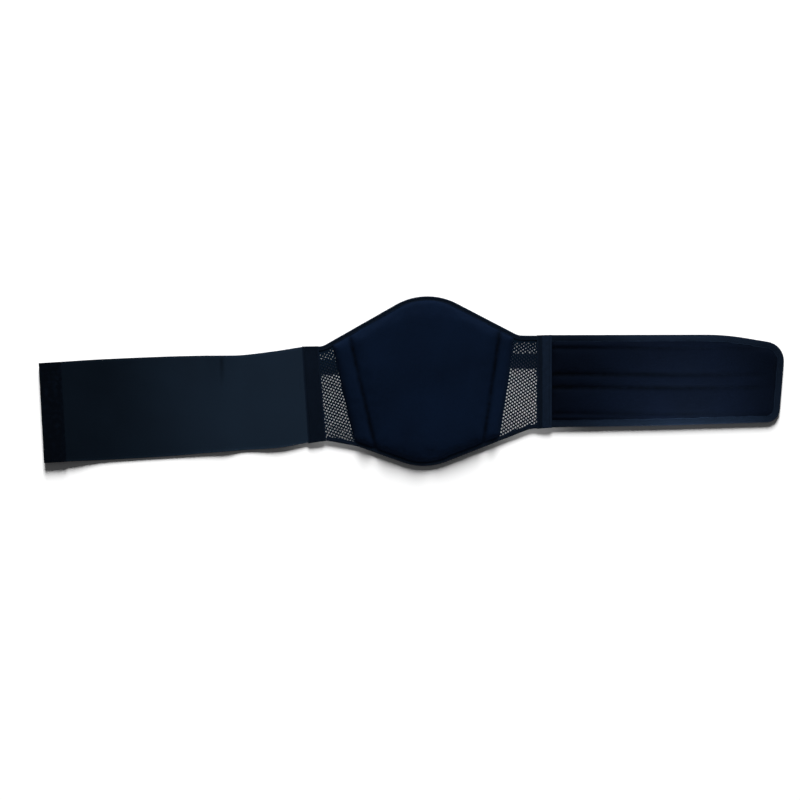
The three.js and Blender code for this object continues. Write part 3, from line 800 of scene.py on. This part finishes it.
class BELT_OT_end_tab(BeltPiece, Operator):
    """Fold the cloth cap over the outer end of the elastic and sew it down"""

    bl_idname = "belt.end_tab"
    bl_label = "End tab"

    def build(self):
        size = sizes()
        low_left, high_left, low_right, _ = corners_of(END_TAB)
        width = norm(low_right - low_left)
        bottom, top = (corner.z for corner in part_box("end_tab"))
        across, height = fold_section(width, top - size.ply / 2, bottom + size.ply / 2, size.ply)
        rows = 60
        up = np.linspace(0, 1, rows)[:, None]
        edge = Line([low_left, high_left])
        walked = up[:, 0] * edge.length
        flat = np.stack([edge.beside(walked, np.full(rows, step)) for step in across], 1)
        upper = height > (top + bottom) / 2
        seam = bell(across - (width - SEAM_INSET), 0.0011)
        pucker = 0.12 * MM * waver(walked, 0.011, 1.1)[:, None]
        pressed = np.where(upper, -1, 0.6) * seam * 0.3 * MM
        z = height + pressed + np.where(upper, pucker, 0) * (1 - seam)
        # The whole tab is darkened, and its fold and free edge are lighter with wear
        wear_and_painted_shading = 0.4 * np.maximum(bell(across - width, 0.0012), bell(across, 0.0015)) - 1.3
        tab = sheet_of("end_tab_cloth", np.dstack([flat, z]), wear_and_painted_shading)
        thicken(tab, size.ply)
        dress(tab, cloth("folded tape"), "tape", "end_tab")
        inset = 0.003
        seam_line = offset_line(edge, inset, edge.length - inset, width - SEAM_INSET)
        finish_seams("end_tab_seam", [sew(tab, seam_line)])


class BELT_OT_hook_tape(BeltPiece, Operator):
    """Mould the hook strip below the end tab, with its hooks pointing down"""

    bl_idname = "belt.hook_tape"
    bl_label = "Hook tape"

    def build(self):
        pitch = sizes().hook_pitch
        low_left, high_left, _, high_right = corners_of(END_TAB)
        middle = (low_left + high_right) / 2
        run = high_left - low_left
        turn = math.atan2(run[1], run[0]) - math.pi / 2
        width, length, high, thick = HOOK_STRIP
        strip = primitive("hook_strip", "cube", size=1, location=(0, 0, high - thick / 2))
        strip.scale = (width, length, thick)
        apply_place()
        finish_with(strip, "BEVEL", width=0.0002, segments=2)
        hook = primitive("hook", "circle", vertices=5, radius=0.00016, fill_type="NGON")
        stem = high - thick
        # The hook's lengths from root to tip: way along the tape, and rise as a share of the stem
        bends = ((0, -0.5), (0.00015, -0.32), (0.0003, 0.02), (0.0001, 0.2))
        with editing():
            bpy.ops.transform.translate(value=(0, 0, stem))
            for out, rise in bends:
                step = (0, out, rise * stem)
                bpy.ops.mesh.extrude_region_move(TRANSFORM_OT_translate={"value": step})
            bpy.ops.mesh.select_all(action="SELECT")
            bpy.ops.mesh.normals_make_consistent(inside=False)
        across = int(width / pitch) - 1
        along = int(length / pitch) - 1
        repeat(hook, across, (pitch, 0, 0))
        repeat(hook, along, (0, pitch, 0))
        points = places(hook)
        points[:, 0] -= (across - 1) * pitch / 2
        points[:, 1] -= (along - 1) * pitch / 2
        set_places(hook, points)
        tape = join("hook_tape_strip", [strip, hook])
        tape.rotation_euler.z = turn
        tape.location = (*middle, 0)
        apply_place()
        dress(tape, cloth("hook plastic"), "hook", "hook_tape")


class BELT_OT_join_strips(BeltPiece, Operator):
    """Sew the two folded strips that hold the nets, one to the elastic and one to the wing"""

    bl_idname = "belt.join_strips"
    bl_label = "Join strips"

    def ply(self, name, corners, height, thick, shares, worn_and_painted_shading=0.0):
        """One layer of a strip, between shares of its width, with its edges turned under."""
        low_left, high_left, low_right, high_right = corners_of(corners)
        up = np.linspace(0, 1, 56)[:, None, None]
        over = np.linspace(*shares, 18)[None, :, None]
        flat = mix(mix(low_left, low_right, over), mix(high_left, high_right, over), up)
        width = norm(low_right - low_left)
        from_edge = np.minimum(over - shares[0], shares[1] - over)[..., 0] * width
        seam = bell(from_edge - SEAM_INSET, 0.001)
        walked = up[..., 0] * norm(high_left - low_left)
        soft = 0.1 * waver(walked + 0.3 * over[..., 0], 0.013, 2.2)
        z = height + thick * (-0.35 * seam + soft - 0.25 * bell(from_edge, 0.0009))
        layer = sheet_of(name, np.dstack([flat, z]), worn_and_painted_shading + bell(from_edge, 0.0012))
        thicken(layer, abs(thick))
        return layer

    def build(self):
        ply = sizes().ply
        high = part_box("join_strip_left")[1].z - ply / 2
        for side, corners in (("left", LEFT_STRIP), ("right", RIGHT_STRIP)):
            name = f"join_strip_{side}"
            reach = (0, 1.016) if side == "left" else (-0.018, 1.012)
            # The left strip's upper layer is darkened with painted shade; the right strip's fold is
            # lighter, partly with wear and partly with painted light
            layers = [
                self.ply("upper", corners, high, ply, reach, -0.3),
                self.ply("lower", corners, ply / 2, -ply, reach),
            ]
            if side == "right":
                thin = 0.7 * ply
                layers.append(self.ply("fold", corners, high + thin, thin, (0.36, 1), 1.1))
            strip = join(f"{name}_cloth", layers)
            dress(strip, cloth("folded tape"), "tape", name)
            low_left, high_left, low_right, high_right = (np.array(spot) for spot in corners)
            plies = 2 + 0.64 * (side == "right")
            width = plies * norm(low_right - low_left) * MM
            length = norm(high_left - low_left) * MM
            rows = []
            for share in (0.13, 0.87) if side == "left" else (0.12, 0.4, 0.87):
                low = mix(low_left, low_right, share)
                top = mix(high_left, high_right, share)
                rows.append(sew(strip, straight(mix(low, top, 0.02), mix(low, top, 0.98))))
            if side == "right":
                rows.append(sew(strip, straight((148.5, -1.5), (155.0, -1.2))))
            finish_seams(f"{name}_seam", rows)


class BELT_OT_vent_nets(BeltPiece, Operator):
    """Knit the two vent nets with open staggered cells"""

    bl_idname = "belt.vent_nets"
    bl_label = "Vent nets"

    def cells(self, name, reach, middle, turn):
        """A field of staggered six-sided cells with open middles, closed beside the upper binding."""
        size = sizes()
        half_across, half_along = size.net_across / 2, size.net_along / 2
        slant = (half_across**2 + half_along**2) / 2
        point = slant / half_across
        corner = (slant - half_along**2) / half_across
        ring = [(point, 0), (corner, half_along), (-corner, half_along)]
        ring += [(-x, -y) for x, y in ring]
        net = primitive(name, "circle", vertices=6, fill_type="NGON")
        flat = places(net)
        order = np.argsort(np.argsort(np.arctan2(flat[:, 1], flat[:, 0])))
        wanted = np.array(sorted(ring, key=lambda spot: math.atan2(spot[1], spot[0])))
        set_places(net, np.c_[wanted[order], np.zeros(6)])
        with editing():
            stagger = (half_across, half_along, 0)
            bpy.ops.mesh.duplicate_move(TRANSFORM_OT_translate={"value": stagger})
        repeat(net, int(reach[0] / size.net_across), (size.net_across, 0, 0))
        repeat(net, int(reach[1] / size.net_along), (0, size.net_along, 0))
        points = places(net)
        points -= points.mean(axis=0)
        set_places(net, points)
        with editing(select=False):
            bpy.ops.mesh.select_mode(type="FACE")
            bpy.ops.mesh.select_all(action="SELECT")
            bpy.ops.mesh.remove_doubles(threshold=0.00005)
            bpy.ops.mesh.inset(thickness=size.net_strand / 2, use_individual=True)
        points = places(net)
        holes = [hole for hole in net.data.polygons if hole.select]
        centres = np.array([hole.center[:2] for hole in holes])
        along, across = math.cos(turn), math.sin(turn)
        laid = centres @ np.array([[along, across], [-across, along]]) + middle
        depth = panel_top.gap_to(laid) - size.pad_binding - size.net_selvedge
        opened = mix(0.72, 1.0, smooth(depth / 0.035))
        for hole, centre, share, deep in zip(holes, centres, opened, depth):
            hole.select = bool(deep > 0)
            corners = list(hole.vertices)
            pulled = (points[corners, :2] - centre) * HOLE_STRETCH * share
            points[corners, :2] = centre + pulled
        set_places(net, points)
        with editing(select=False):
            bpy.ops.mesh.delete(type="FACE")
        return net

    def build(self):
        size = sizes()
        middle_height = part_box("net_left")[0].z + size.cloth / 2
        top, bottom = panel_top, panel_bottom
        # Side, end of the panel's edges on that side, and lean of the net's rows in degrees
        for side, end, lean in (("left", 0, 18), ("right", -1, -9)):
            name = f"net_{side}"
            outer, inner = (0, 1) if side == "left" else (1, 0)
            outward = -1 if side == "left" else 1
            over = [PANEL_TOP[end][0], PAD_SIDES[f"top_{side}"]]
            below = [PANEL_BOTTOM[end][0], PAD_SIDES[f"bottom_{side}"]]
            if side == "right":
                over, below = over[::-1], below[::-1]
            highs = [top.beside(top.where_x(x * MM), NET_INSET) for x in over]
            lows = [bottom.beside(bottom.where_x(x * MM), -NET_INSET) for x in below]
            for edge in (highs, lows):
                edge[outer] = edge[outer] + np.array([outward * NET_TUCK, 0])
                edge[inner] = edge[inner] - np.array([outward * 2 * size.gap, 0])
            middle = (sum(highs) + sum(lows)) / 4
            turn = math.radians(lean)
            net = self.cells(f"{name}_mesh", (0.085, 0.17), middle, turn)
            net.rotation_euler.z = turn
            net.location = (*middle, middle_height)
            take(net)
            apply_place()
            loop = [highs[0], highs[1], lows[1], lows[0]]
            with editing(select=False):
                for start, stop in zip(loop, loop[1:] + loop[:1]):
                    run = (stop - start) / norm(stop - start)
                    spot, out = (*start, middle_height), (-run[1], run[0], 0)
                    bpy.ops.mesh.select_all(action="SELECT")
                    bpy.ops.mesh.bisect(plane_co=spot, plane_no=out, clear_outer=True)
            thicken(net, NET_THICK)
            dress(net, cloth("net yarn"), "net", name)


class BELT_OT_net_tapes(BeltPiece, Operator):
    """Lay the stretch tape behind each net"""

    bl_idname = "belt.net_tapes"
    bl_label = "Net tapes"

    def build(self):
        size = sizes()
        for side in ("left", "right"):
            name = f"net_tape_{side}"
            low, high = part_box(name)
            solid = frame["nodes"][name].data.vertices
            flat = np.array([vertex.co[:2] for vertex in solid])
            upper = flat[flat[:, 1] > (low.y + high.y) / 2]
            lower = flat[flat[:, 1] <= (low.y + high.y) / 2]
            up = np.linspace(0, 1, 21)[:, None]
            over = np.linspace(0, 1, 26)
            left = mix(lower[:, 0].min(), upper[:, 0].min(), up)
            right = mix(lower[:, 0].max(), upper[:, 0].max(), up)
            x = mix(left, right, over)
            y = mix(low.y, high.y, up) + 0 * x
            cord = 0.09 * MM * np.cos(up * TURN * 5)
            z = size.ply / 2 + cord + 0 * x
            wear_and_painted_shading = np.maximum(bell(up * size.net_tape, 0.001), bell((1 - up) * size.net_tape, 0.001))
            tape = sheet_of(f"{name}_cloth", np.dstack([x, y, z]), wear_and_painted_shading)
            thicken(tape, 0.7 * size.ply)
            dress(tape, cloth("stretch tape"), "stretch", name)


def pad_corner(path, side, reach, fold):
    return path.beside(path.where_x(PAD_SIDES[side] * MM), reach * fold)


class BELT_OT_back_pad(BeltPiece, Operator):
    """Blow up the padded back panel between its edges and its two sewn lines"""

    bl_idname = "belt.back_pad"
    bl_label = "Back pad"

    def build(self):
        size = sizes()
        fold = size.ply + size.gap
        seam_high = fold + size.cloth
        bound, sewn = size.pad_binding - fold + size.gap, 0.0008
        top_left = pad_corner(panel_top, "top_left", 1, fold)
        top_right = pad_corner(panel_top, "top_right", 1, fold)
        bottom_left = pad_corner(panel_bottom, "bottom_left", -1, fold)
        bottom_right = pad_corner(panel_bottom, "bottom_right", -1, fold)
        rows = 84
        even = np.linspace(0, 1, rows)
        up = (even - 0.5 * np.sin(TURN * even) / TURN)[:, None]
        fine = np.linspace(0, 1, 400)

        def edge(path, start, end, reach):
            walked = mix(path.where_x(PAD_SIDES[start] * MM), path.where_x(PAD_SIDES[end] * MM), fine)
            return path.beside(walked, np.full(len(walked), reach))

        high = edge(panel_top, "top_left", "top_right", fold)
        low = edge(panel_bottom, "bottom_left", "bottom_right", -fold)
        dense = mix(low[None], high[None], up[..., None])
        to_left = side_distance(dense, bottom_left, top_left)
        to_right = -side_distance(dense, bottom_right, top_right)
        left_mark = np.array([np.interp(size.pad_line_left, row, fine) for row in to_left])
        right_mark = np.array([np.interp(-size.pad_line_right, -row, fine) for row in to_right])
        anchors = [np.zeros(rows), left_mark, right_mark, np.ones(rows)]
        counts = (12, 84, 10)
        share = through(anchors, counts)
        flat = np.stack(
            [[np.interp(s, fine, row[:, k]) for s, row in zip(share, dense)] for k in (0, 1)], -1
        )

        def reach(spots):
            return np.minimum.reduce([
                panel_top.gap_to(spots) - fold - bound,
                panel_bottom.gap_to(spots) - fold - bound,
                side_distance(spots, bottom_left, top_left) - sewn,
                -side_distance(spots, bottom_right, top_right) - sewn,
            ])

        inside = reach(flat)
        off_left = side_distance(flat, bottom_left, top_left) - size.pad_line_left
        off_right = -side_distance(flat, bottom_right, top_right) - size.pad_line_right
        line = np.maximum(bell(off_left, 0.0032), bell(off_right, 0.0032))
        rise = plump(inside, size.pad_run)
        z = seam_high + rise * (0.9 * size.pad_rise - size.pad_dip * line)
        # Painted shade darkens the cover along its sewn lines
        pressed = np.maximum(bell(off_left, 0.0024), bell(off_right, 0.0024)) * rise
        points = np.dstack([flat, z])
        pad = sheet_of("back_pad_cover", points, -1.1 * pressed, hem=False)
        pinned = np.zeros_like(z)
        pinned[inside <= 0] = 1
        for column in np.cumsum(counts)[:-1]:
            pinned[:, column] = 1
        fill_out(pad, points, pinned, 1.5, 0.0016, reach)
        dress(pad, cloth("knit cover"), "pad", "back_pad")
        # How far the sewn lines are drawn past the pad's ends, and where on them the stitches begin
        past, inset = 0.03, 0.012
        seams = []
        for low_end, high_end, across in (
            (bottom_left, top_left, size.pad_line_left),
            (bottom_right, top_right, -size.pad_line_right),
        ):
            along = (high_end - low_end) / norm(high_end - low_end)
            side = Line([low_end - past * along, high_end + past * along])
            seam_line = offset_line(side, 0, side.length, across)
            seams.append(sew(pad, seam_line, inset, seam_line.length - inset))
        finish_seams("back_pad_seam", seams)


class BELT_OT_loop_wing(BeltPiece, Operator):
    """Blow up the loop-faced wing between its edges and its four sewn lines"""

    bl_idname = "belt.loop_wing"
    bl_label = "Loop wing"

    def build(self):
        size = sizes()
        fold = size.ply + size.gap
        seam_high = fold + size.cloth
        bound = size.wing_binding - fold + size.gap
        path = wing_edge
        upper = path.nearest(np.array(WING_EDGE[2][:2]) * MM)
        lower = path.nearest(np.array(WING_EDGE[3][:2]) * MM)
        columns = 126
        over = np.linspace(0, 1, columns)
        full = np.full(columns, fold)
        high = path.beside(upper * over, full)
        low = path.beside(path.length - (path.length - lower) * over, full)
        middle = (WING_EDGE[0][1] + WING_EDGE[5][1]) / 2 * MM
        half = (WING_EDGE[0][1] - WING_EDGE[5][1]) / 2 * MM
        offsets = (half - size.wing_line_outer, size.wing_line_middle)
        levels = [middle - offset for offset in offsets] + [middle + offset for offset in offsets[::-1]]
        tall = high[:, 1] - low[:, 1]
        marks = [np.clip((level - low[:, 1]) / tall, 0.07, 0.93) for level in levels]
        counts = (8, 16, 8, 16, 8)
        up = through([np.zeros(columns), *marks, np.ones(columns)], counts).T
        end = path.beside(mix(lower, upper, up[:, -1]), np.full(len(up), fold))
        bulge = (end - mix(low[-1], high[-1], up[:, -1, None]))[:, None, :]
        flat = mix(low[None], high[None], up[..., None]) + bulge * (over**4)[None, :, None]
        left = WING_EDGE[0][0] * MM

        def reach(spots):
            return np.minimum(path.gap_to(spots) - fold - bound, spots[..., 0] - left - TUCK)

        inside = reach(flat)
        off = np.abs(flat[..., 1] - middle)
        off_middle, off_outer = off - size.wing_line_middle, half - off - size.wing_line_outer
        line = np.maximum(bell(off_middle, 0.0026), bell(off_outer, 0.0026))
        # The sewn lines grow shallow towards the wing's end and stop before it
        x = flat[..., 0]
        fade = (1 - smooth((x - 0.425) / 0.023)) * mix(1, 0.5, smooth((x - 0.29) / 0.11))
        rise = plump(inside, size.wing_run)
        z = seam_high + rise * (0.9 * size.wing_rise - size.wing_dip * line * fade)
        # Painted shade darkens the pile along its sewn lines, fading towards the wing's end
        pressed = np.maximum(bell(off_middle, 0.0024), 0.6 * bell(off_outer, 0.0018))
        points = np.dstack([flat, z])
        wing = sheet_of("loop_wing_cover", points, -1.1 * pressed * fade, hem=False)
        pinned = np.zeros_like(z)
        pinned[inside <= 0] = 1
        for row in np.cumsum(counts)[:-1]:
            pinned[row] = np.maximum(pinned[row], fade[row] > 0.2)
        fill_out(wing, points, pinned, 3.0, 0.0014, reach)
        dress(wing, cloth("loop pile"), "loop", "loop_wing")
        seams = [straight((168.0, level / MM), (432.0, level / MM)) for level in levels]
        finish_seams("loop_wing_seam", [sew(wing, seam) for seam in seams])


class BELT_OT_bindings(BeltPiece, Operator):
    """Fold the tapes over the edges of the panel and of the wing and sew them through"""

    bl_idname = "belt.bindings"
    bl_label = "Bindings"

    def build(self):
        size = sizes()
        ply = size.ply
        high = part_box("pad_binding_top")[1].z - ply / 2
        low = ply / 2
        # Node, line, side of the line, width, start, stray of the free edge in mm, and piece held
        tapes = (
            ("pad_binding_top", panel_top, 1, size.pad_binding, 0.0, 0.3, "back_pad"),
            ("pad_binding_bottom", panel_bottom, -1, size.pad_binding, 0.0, 0.3, "back_pad"),
            ("wing_binding", wing_edge, 1, size.wing_binding, TUCK, 0.55, "loop_wing"),
        )
        for name, path, side, width, start, wobble, held in tapes:
            across, height = fold_section(width, high, low, ply)
            count = int((path.length - 2 * start) / SEAM_STEP)
            walked = np.linspace(start, path.length - start, count)
            free = np.clip((across - 0.35 * width) / (0.65 * width), 0, 1)
            stray = wobble * MM * waver(walked, 0.031, width * 900)
            upper = height > (high + low) / 2
            reach = across[None, :] + stray[:, None] * free[None, :]
            flat = np.stack([path.beside(walked, side * column) for column in reach.T], 1)
            stitched = width - BINDING_INSET
            seam = bell(across - stitched, 0.0008)[None, :]
            pucker = waver(walked, 0.0105, 0.7)[:, None] * bell(across - stitched, 0.0028)[None, :]
            dented = np.where(upper, -0.28, 0.12) * MM * seam
            z = height + dented + np.where(upper, 0.12, 0) * MM * pucker
            wear_and_painted_shading = np.maximum(bell(across - width, 0.0008), 0.7 * bell(across, 0.0016)) + 0 * z
            if side < 0:
                flat, z, wear_and_painted_shading = flat[::-1], z[::-1], wear_and_painted_shading[::-1]
            tape = sheet_of(f"{name}_cloth", np.dstack([flat, z]).transpose(1, 0, 2), wear_and_painted_shading.T)
            thicken(tape, ply)
            dress(tape, cloth("folded tape"), "tape", name)
            first = start + 0.002
            seam_line = offset_line(path, first, path.length - first, side * stitched)
            finish_seams(f"{name}_seam", [sew(tape, seam_line)])


class BELT_OT_stage(BeltPiece, Operator):
    """Set out the pale floor, the soft lights and the camera above the belt"""

    bl_idname = "belt.stage"
    bl_label = "Stage"

    def soft_light(self, name, place, aim, width, power, cone, lit):
        lamp = bpy.data.lights.new(name, "SPOT" if cone else "AREA")
        lamp.energy = power
        if cone:
            lamp.spot_size = math.radians(cone)
            lamp.spot_blend = 1
            lamp.shadow_soft_size = width / 2
        else:
            lamp.shape = "DISK"
            lamp.size = width
        light = bpy.data.objects.new(name, lamp)
        bpy.context.scene.collection.objects.link(light)
        light.location = place
        direction = np.array(aim) - np.array(place)
        light.rotation_euler = Vector(direction).to_track_quat("-Z", "Y").to_euler()
        light.light_linking.receiver_collection = lit
        light.visible_camera = False

    def build(self):
        scene = bpy.context.scene
        floor = primitive("studio_floor", "plane", size=FLOOR_WIDTH, location=(0, 0, -FLOOR_DROP))
        material, tree, shader = blank_material("pale floor")
        place = node(tree, "ShaderNodeTexCoord").outputs["Object"]
        shade = spread(tree, noise(tree, place, 3.0), 0.985, 1.0)
        # Past the lamps' reach the floor glows, so that it stays pale as far as it goes
        away = node(tree, "ShaderNodeVectorMath", {0: place}, operation="LENGTH").outputs["Value"]
        inputs = {
            "Base Color": tinted(tree, colours().floor, shade),
            "Emission Strength": spread(tree, away, 0.0, 1.0, *FLOOR_GLOW),
            "Emission Color": (*colours().floor, 1),
            "Roughness": 0.9,
            "Specular IOR Level": 0.1,
        }
        connect(tree, shader, inputs)
        material.cycles.emission_sampling = "NONE"
        floor.data.materials.append(material)
        world = bpy.data.worlds.new("studio")
        world.use_nodes = True
        background = world.node_tree.nodes["Background"]
        background.inputs[0].default_value = WORLD_COLOUR
        background.inputs[1].default_value = WORLD_STRENGTH
        scene.world = world
        lit = {subject: bpy.data.collections.new(subject) for subject in ("belt", "band", "floor")}
        for piece in scene.objects:
            if piece.type == "MESH":
                lit["floor" if piece == floor else "belt"].objects.link(piece)
        lit["band"].objects.link(bpy.data.objects["elastic_band_cloth"])
        for name, spot, aim, width, power, cone, subject in LIGHTS:
            self.soft_light(name, spot, aim, width, power, cone, lit[subject])
        camera = bpy.data.objects.new("camera", bpy.data.cameras.new("camera"))
        scene.collection.objects.link(camera)
        camera.location = CAMERA_PLACE
        camera.data.sensor_width = CAMERA_SENSOR
        camera.data.lens = CAMERA_SENSOR * CAMERA_PLACE[2] / VIEW_WIDTH
        scene.camera = camera
        scene.view_settings.view_transform = "Standard"


PIECES = (
    BELT_OT_elastic_band,
    BELT_OT_end_tab,
    BELT_OT_hook_tape,
    BELT_OT_join_strips,
    BELT_OT_vent_nets,
    BELT_OT_net_tapes,
    BELT_OT_back_pad,
    BELT_OT_loop_wing,
    BELT_OT_bindings,
    BELT_OT_stage,
)


class VIEW3D_PT_kidney_belt(Panel):
    """Lists the belt's pieces, sizes and colours"""

    bl_label = "Kidney Belt"
    bl_space_type = "VIEW_3D"
    bl_region_type = "UI"
    bl_category = "Kidney Belt"

    def draw(self, context):
        layout = self.layout
        for piece in PIECES:
            layout.operator(piece.bl_idname)
        for group in (context.scene.belt_sizes, context.scene.belt_colours):
            for key in group.__annotations__:
                layout.prop(group, key)


CLASSES = (BeltSizes, BeltColours, *PIECES, VIEW3D_PT_kidney_belt)


def register():
    for entry in CLASSES:
        bpy.utils.register_class(entry)
    bpy.types.Scene.belt_sizes = PointerProperty(type=BeltSizes)
    bpy.types.Scene.belt_colours = PointerProperty(type=BeltColours)


def unregister():
    del bpy.types.Scene.belt_colours
    del bpy.types.Scene.belt_sizes
    for entry in reversed(CLASSES):
        bpy.utils.unregister_class(entry)


def main():
    register()
    bpy.ops.belt.elastic_band()
    bpy.ops.belt.end_tab()
    bpy.ops.belt.hook_tape()
    bpy.ops.belt.join_strips()
    bpy.ops.belt.vent_nets()
    bpy.ops.belt.net_tapes()
    bpy.ops.belt.back_pad()
    bpy.ops.belt.loop_wing()
    bpy.ops.belt.bindings()
    bpy.ops.belt.stage()


if __name__ == "__main__":
    main()
